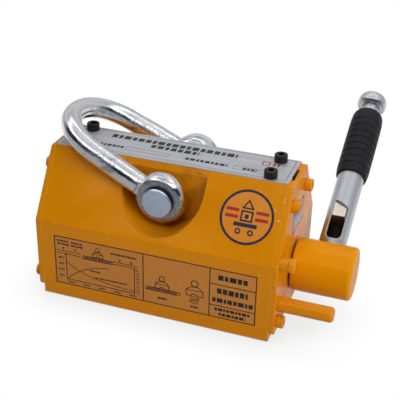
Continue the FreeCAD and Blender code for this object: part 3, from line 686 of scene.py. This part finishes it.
def front_graph(p):
    """Left cell: a graph with two curves, its labels, marks and a hatched plate."""
    x0, x1, z0, z1 = -60.5, -12.0, 14.6, 33.2
    steps = [i / 20 for i in range(21)]
    p.line((x0, z0), (x1, z0), AXIS)
    p.line((x0, z0), (x0, z1), AXIS)
    p.line((x1, z0), (x1, z1 - 1.0), AXIS)
    for x, z in ((x0, z1), (x1, z1 - 1.2)):
        p.poly([(x - 0.8, z), (x + 0.8, z), (x, z + 1.6)])
    p.path([(x0 + 0.3 + 48.0 * t, z0 + 1.0 + 12.5 * math.exp(-3.0 * t)) for t in steps], THIN)
    p.path([(x0 + 1.0 + 30.0 * t, z0 + 0.4 + 16.0 * (1 - math.exp(-2.2 * t))) for t in steps],
           THIN)
    for i in range(4):
        p.bars(x0 - 5.4, z0 + 1.5 + 4.6 * i, x0 - 1.8, 1.1, (1.4, 0.9), 0.35)
    for i in range(9):
        p.bars(x1 + 1.4, z0 + 0.6 + 2.05 * i, x1 + 3.8, 0.8, (1.0, 0.7), 0.3)
    for i in range(5):
        p.bars(x0 + 1.0 + 11.0 * i, z0 - 2.6, x0 + 5.8 + 11.0 * i, 1.1, (1.3, 0.9, 1.1), 0.35)
    for left, right in ((-66.5, -58.0), (-56.5, -48.0)):
        p.bars(left, 42.6, right, 1.2, (1.7, 2.3, 1.1), 0.4)
        p.bars(left, 40.3, right, 1.2, (2.3, 1.2, 1.9), 0.4)
    # arrowheads pointing down: x, top
    for x, top in ((-62.3, 38.7), (-53.5, 38.7), (-22.0, 37.9), (-14.0, 37.9)):
        p.poly([(x - 0.8, top), (x + 0.8, top), (x, top - 2.1)])
    # level lines: left, right, height
    for left, right, z in ((-67.0, -50.5, 35.9), (-67.0, -50.5, 33.9),
                           (-26.0, -10.0, 35.6), (-26.0, -10.0, 33.8)):
        p.line((left, z), (right, z), THIN)
    p.bars(-28.5, 40.6, -10.5, 1.2, (2.1, 1.3, 2.7), 0.4)
    p.hatch(-48.0, 33.0, -26.8, 35.2)
    p.lifter_sign(-37.6, 37.4, scale=1.0)
    p.bars(-44.0, 24.2, -36.5, 1.1, (1.3, 1.9), 0.35)
    p.bars(-40.0, 19.6, -17.5, 1.0, (1.9, 1.1, 2.5), 0.45)


def front_signs(p):
    """Middle cell: a lifter on a plate and a lifter on a round bar."""
    p.hatch(CELL_A + 1.8, 20.4, CELL_A + 25.0, 22.6)
    p.lifter_sign(CELL_A + 13.0, 25.0, scale=1.3)
    p.bars(CELL_A + 10.0, 14.8, CELL_A + 16.5, 1.5, (1.5, 1.0, 1.8), 0.4)
    bar_x, bar_z = CELL_A + 35.0, 19.7
    p.lifter_sign(bar_x, 25.6, scale=1.55)
    p.ring(bar_x, bar_z, 2.7, 3.1, steps=30)
    for x in (bar_x - 1.6, bar_x, bar_x + 1.6):
        p.line((x - 1.5, bar_z - 1.5), (x + 1.5, bar_z + 1.5), 0.32)
    p.bars(CELL_A + 32.5, 13.6, CELL_A + 37.6, 1.4, (1.2, 1.6), 0.4)


def front_print():
    left, right, foot, top = -68.3, 69.1, 10.6, 46.2
    p = Print((0, FRONT_Y - FILM, 0), across=(1, 0, 0), up=(0, 0, 1), weight=1.6)
    p.frame(left, foot, right, top, RULE)
    for x in (CELL_A, CELL_B):
        p.line((x, foot), (x, top), RULE)
    for z in (35.1, 19.5):
        p.line((CELL_B, z), (right, z), RULE)
    front_graph(p)
    front_signs(p)
    # right cell, rows of blocks: left, foot, right, height, block widths, gap
    for row in ((44.5, 38.6, 63.5, 3.6, (3.4, 2.2, 4.4, 2.6), 0.9),
                (44.0, 28.6, 64.0, 3.9, (2.9, 2.9, 3.6, 2.2), 0.8),
                (41.0, 22.0, 67.6, 3.2, (2.2, 3.8, 1.6, 3.0), 0.8),
                (42.5, 15.7, 66.0, 2.1, (1.9, 2.9, 1.3), 0.6),
                (45.5, 12.2, 63.0, 2.1, (1.5, 2.3, 2.9), 0.6)):
        p.bars(*row)
    p.build("front_print", INK_DARK)


def slope_prints():
    """On the round film: a ring, a plain figure inside it and four red dashes."""
    tilt = math.atan2(SLOPE_TOP_Y - FRONT_Y, SLOPE_TOP_Z - SLOPE_FOOT_Z)
    up = Vector((0, math.sin(tilt), math.cos(tilt)))
    outward = Vector((0, -math.cos(tilt), math.sin(tilt)))
    # the film's centre lies 27.1 mm up the slope
    center = Vector((56.5, FRONT_Y, SLOPE_FOOT_Z)) + up * 27.1 + outward * FILM
    p = Print(center, across=(1, 0, 0), up=up)
    p.ring(0, 0, 15.45, 17.05, steps=96)
    p.build("slope_ring", INK_NAVY)
    # from the middle: a bar, a box in a frame, a triangle and two small rings
    p = Print(center, across=(1, 0, 0), up=up)
    p.rect(-7.4, -6.2, 7.4, -3.8)
    p.frame(-3.4, -2.4, 3.4, 3.4, 1.1)
    p.rect(-1.2, -1.0, 1.2, 1.6)
    p.path([(-3.2, 5.4), (3.2, 5.4), (0.0, 10.2)], 1.0, closed=True)
    for x in (-4.0, 4.0):
        p.ring(x, -9.2, 0.9, 1.9, steps=20)
    p.build("slope_figure", INK_NAVY)
    p = Print(center, across=(1, 0, 0), up=up, lift=0.05)
    for side in (-1, 1):
        for y in (3.6, -0.6):
            p.line((side * 6.4, y), (side * 12.6, y), 2.0)
    p.build("slope_dashes", INK_RED)


def nameplate_prints():
    """A border, rows of blocks and two empty boxes, then a red square with two strokes."""
    plate_top = (0, 0, 98.5)
    p = Print(plate_top, across=(1, 0, 0), up=(0, 1, 0))
    p.frame(-75.4, -14.2, 75.2, 14.8, 0.32)
    p.bars(-49.0, 5.7, 38.0, 4.8, (3.6, 2.6, 4.6, 3.0, 4.0), 1.2)
    p.bars(-19.0, -0.2, 14.0, 4.4, (3.2, 4.2, 2.6, 3.8), 1.2)
    p.bars(-52.0, -8.0, -35.0, 3.0, (2.4, 1.6, 2.8), 0.8)
    p.frame(-33.0, -9.0, -3.5, -5.0, 0.28)
    p.bars(8.0, -8.6, 36.0, 3.2, (2.2, 3.2, 1.8), 0.9)
    p.frame(40.0, -9.6, 61.0, -5.0, 0.28)
    p.bars(46.0, -8.8, 55.0, 2.8, (2.2, 1.8), 0.7)
    p.bars(62.4, -9.2, 67.0, 2.4, (1.6, 1.2), 0.6)
    p.build("nameplate_print", INK_DARK)
    p = Print(plate_top, across=(1, 0, 0), up=(0, 1, 0))
    p.frame(55.6, 2.6, 60.0, 7.4, 0.8)
    p.rect(62.4, 2.6, 63.6, 7.4)
    p.rect(65.2, 2.6, 66.4, 7.4)
    p.build("nameplate_mark", INK_RED)


def end_prints():
    """On the drive end film: a border, then two groups of blocks and an arc."""
    film_face = (81.72, 0, 0)
    p = Print(film_face, across=(0, 1, 0), up=(0, 0, 1))
    p.frame(-11.7, 61.4, 12.9, 76.4, 1.2)
    p.build("end_border", INK_BLUE)
    p = Print(film_face, across=(0, 1, 0), up=(0, 0, 1))
    p.bars(-9.0, 71.6, -1.5, 2.6, (2.2, 1.6), 0.7)
    p.bars(3.0, 71.6, 10.5, 2.6, (1.6, 2.4), 0.7)
    p.ring(0.6, 61.6, 6.2, 6.8, steps=30, start=20.0, end=160.0)
    p.build("end_print", INK_DARK)


front_print()
slope_prints()
nameplate_prints()
end_prints()


# ------------------------------------------------------------------ lock spring
def lock_spring():
    """A copy of the CAD spring, baked in place, with the CAD spring hidden."""
    source = NODES["lock_spring"]
    coil = source.copy()
    coil.data = source.data.copy()
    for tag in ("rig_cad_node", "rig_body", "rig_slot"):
        if tag in coil:
            del coil[tag]
    coil.name = "lock_spring_coil"
    coil.parent = None
    bpy.context.scene.collection.objects.link(coil)
    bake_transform(coil)
    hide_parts("lock_spring")
    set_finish(coil, "machined_steel")


lock_spring()


# ------------------------------------------------------------------ floor
def floor_paper():
    """White to the camera, dimmer as a light bounce or mirror image, clear from below."""
    m = new_material("floor_paper")
    paper = m.add("ShaderNodeBsdfDiffuse", {"Color": m.over(
        (0.60, 0.60, 0.60), tint=(0.64, 0.64, 0.64),
        by=m.remap(m.noise(scale=3.0), span=(0.3, 0.7)))})
    # soft contact shade
    shade = m.remap(m.ao(distance=0.030, samples=12), span=(0.30, 0.98), to=(0.70, 1.0))
    seen = m.add("ShaderNodeEmission", {
        "Color": m.over((0.30, 0.29, 0.28), tint=(1.0, 1.0, 1.0), by=shade), "Strength": 1.0})
    # mirror images go from grey in front to warm white behind
    mirror = m.add("ShaderNodeEmission", {
        "Color": m.over((0.36, 0.38, 0.42), tint=(0.92, 0.90, 0.88),
                        by=m.remap(m.xyz[1], span=(-0.05, 0.12))), "Strength": 1.0})
    ray = m.add("ShaderNodeLightPath").outputs
    top = m.mix_shader(ray["Is Camera Ray"],
                       m.mix_shader(ray["Is Glossy Ray"], paper, mirror), seen)
    back = m.add("ShaderNodeNewGeometry").outputs["Backfacing"]
    clear = m.add("ShaderNodeBsdfTransparent")
    m.put(m.output.inputs[0], m.mix_shader(m.times(back, ray["Is Camera Ray"]), top, clear))
    return m.owner


bpy.ops.mesh.primitive_plane_add(size=14.0, location=(0, 0, -0.0004))
floor = bpy.context.object
floor.name = "floor"
floor.data.materials.append(floor_paper())
floor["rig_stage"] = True


# ------------------------------------------------------------------ lights (metres, watts)
def area(name, place, target, size, power, color=(1, 1, 1), size_y=None):
    light = bpy.data.lights.new(name, "AREA")
    light.energy = power
    light.color = color
    light.shape = "RECTANGLE" if size_y else "SQUARE"
    light.size = size
    if size_y:
        light.size_y = size_y
    lamp = bpy.data.objects.new(name, light)
    bpy.context.scene.collection.objects.link(lamp)
    lamp.location = place
    aim = Vector(target) - Vector(place)
    lamp.rotation_euler = aim.to_track_quat("-Z", "Y").to_euler()
    lamp.visible_camera = False
    lamp.visible_glossy = False         # polished metal mirrors the world's panels instead


area("key", place=(0.15, -0.80, 1.15), target=(0.03, 0.0, 0.06), size=0.55, power=4.7,
     color=(1.0, 0.995, 0.98))
area("top", place=(0.05, 0.55, 1.20), target=(0.02, 0.0, 0.06), size=0.8, power=7.4,
     color=(0.98, 0.99, 1.0))
area("left", place=(-1.10, -0.35, 0.85), target=(0.0, 0.0, 0.06), size=0.5, size_y=0.7,
     power=1.1)
area("side", place=(1.20, -0.55, 0.40), target=(0.10, 0.0, 0.05), size=0.45, size_y=0.8,
     power=8.6)

# ------------------------------------------------------------------ world
# Room brightness by height of the direction: (0 down .. 0.5 level .. 1 up, brightness)
FILL = ((0.0, 0.60), (0.50, 0.60), (0.545, 0.40), (0.60, 0.16), (0.86, 0.22), (0.93, 0.55),
        (1.0, 0.70))
BEHIND = ((0.0, 0.50), (0.50, 0.52), (0.60, 0.46), (0.80, 0.62), (0.86, 0.40), (0.90, 0.55),
          (0.925, 1.70), (0.95, 1.60), (0.965, 0.50), (1.0, 0.75))
IN_FRONT = ((0.0, 0.30), (0.50, 0.30), (0.508, 0.45), (0.53, 0.35), (0.55, 0.05), (0.62, 0.02),
            (0.79, 0.025), (0.815, 0.90), (0.850, 2.20), (0.895, 2.00), (0.920, 0.30),
            (0.95, 0.45), (1.0, 0.75))


def sky(w, height, stops, strength):
    ramp = w.add("ShaderNodeValToRGB", {"Fac": height})
    elements = ramp.color_ramp.elements
    while len(elements) < len(stops):
        elements.new(0.5)
    for element, (position, c) in zip(elements, stops):
        element.position = position
        element.color = (c, c, c * 1.02, 1)
    return w.add("ShaderNodeBackground", {"Color": ramp, "Strength": strength})


def studio_world():
    """White to the camera, one room as light and another as seen in polished metal."""
    w = ShaderTree(bpy.data.worlds.new("studio"), "ShaderNodeOutputWorld")
    ray = w.add("ShaderNodeLightPath").outputs
    white = w.add("ShaderNodeBackground", {"Color": (1, 1, 1), "Strength": 1.0})
    direction = w.add("ShaderNodeTexCoord").outputs["Generated"]
    _, y, z = w.add("ShaderNodeSeparateXYZ", {0: direction}).outputs
    height = w.remap(z, span=(-1.0, 1.0))
    fill = sky(w, height, FILL, strength=0.61)
    behind = sky(w, height, BEHIND, strength=1.0)
    in_front = sky(w, height, IN_FRONT, strength=1.0)
    mirrored = w.mix_shader(w.remap(y, span=(-0.20, 0.25)), in_front, behind)
    room = w.mix_shader(ray["Is Glossy Ray"], fill, mirrored)
    w.put(w.output.inputs[0], w.mix_shader(ray["Is Camera Ray"], room, white))
    return w.owner


scene = bpy.context.scene
scene.world = studio_world()
scene.view_settings.view_transform = "Standard"
scene.view_settings.look = "None"
scene.view_settings.exposure = 0.0

# ------------------------------------------------------------------ camera
place = Vector((187.14, -495.01, 348.48)) * MM
right = Vector((0.94132, 0.33694, 0.01976)).normalized()
up = Vector((-0.17609, 0.44034, 0.88039)).normalized()
back = right.cross(up).normalized()
camera_data = bpy.data.cameras.new("camera")
camera_data.sensor_width = 36.0
camera_data.lens = 81.86
camera_data.clip_start = 0.01
camera_data.clip_end = 50.0
camera = bpy.data.objects.new("camera", camera_data)
scene.collection.objects.link(camera)
camera.matrix_world = Matrix((*zip(right, up, back, place), (0, 0, 0, 1)))
scene.camera = camera

size_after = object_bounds()


def plain(bounds):
    # the bounds may be a pair of corners or one flat row of numbers
    try:
        return [[float(x) for x in corner] for corner in bounds]
    except TypeError:
        return [float(x) for x in bounds]


{"before": plain(size_before), "after": plain(size_after)}
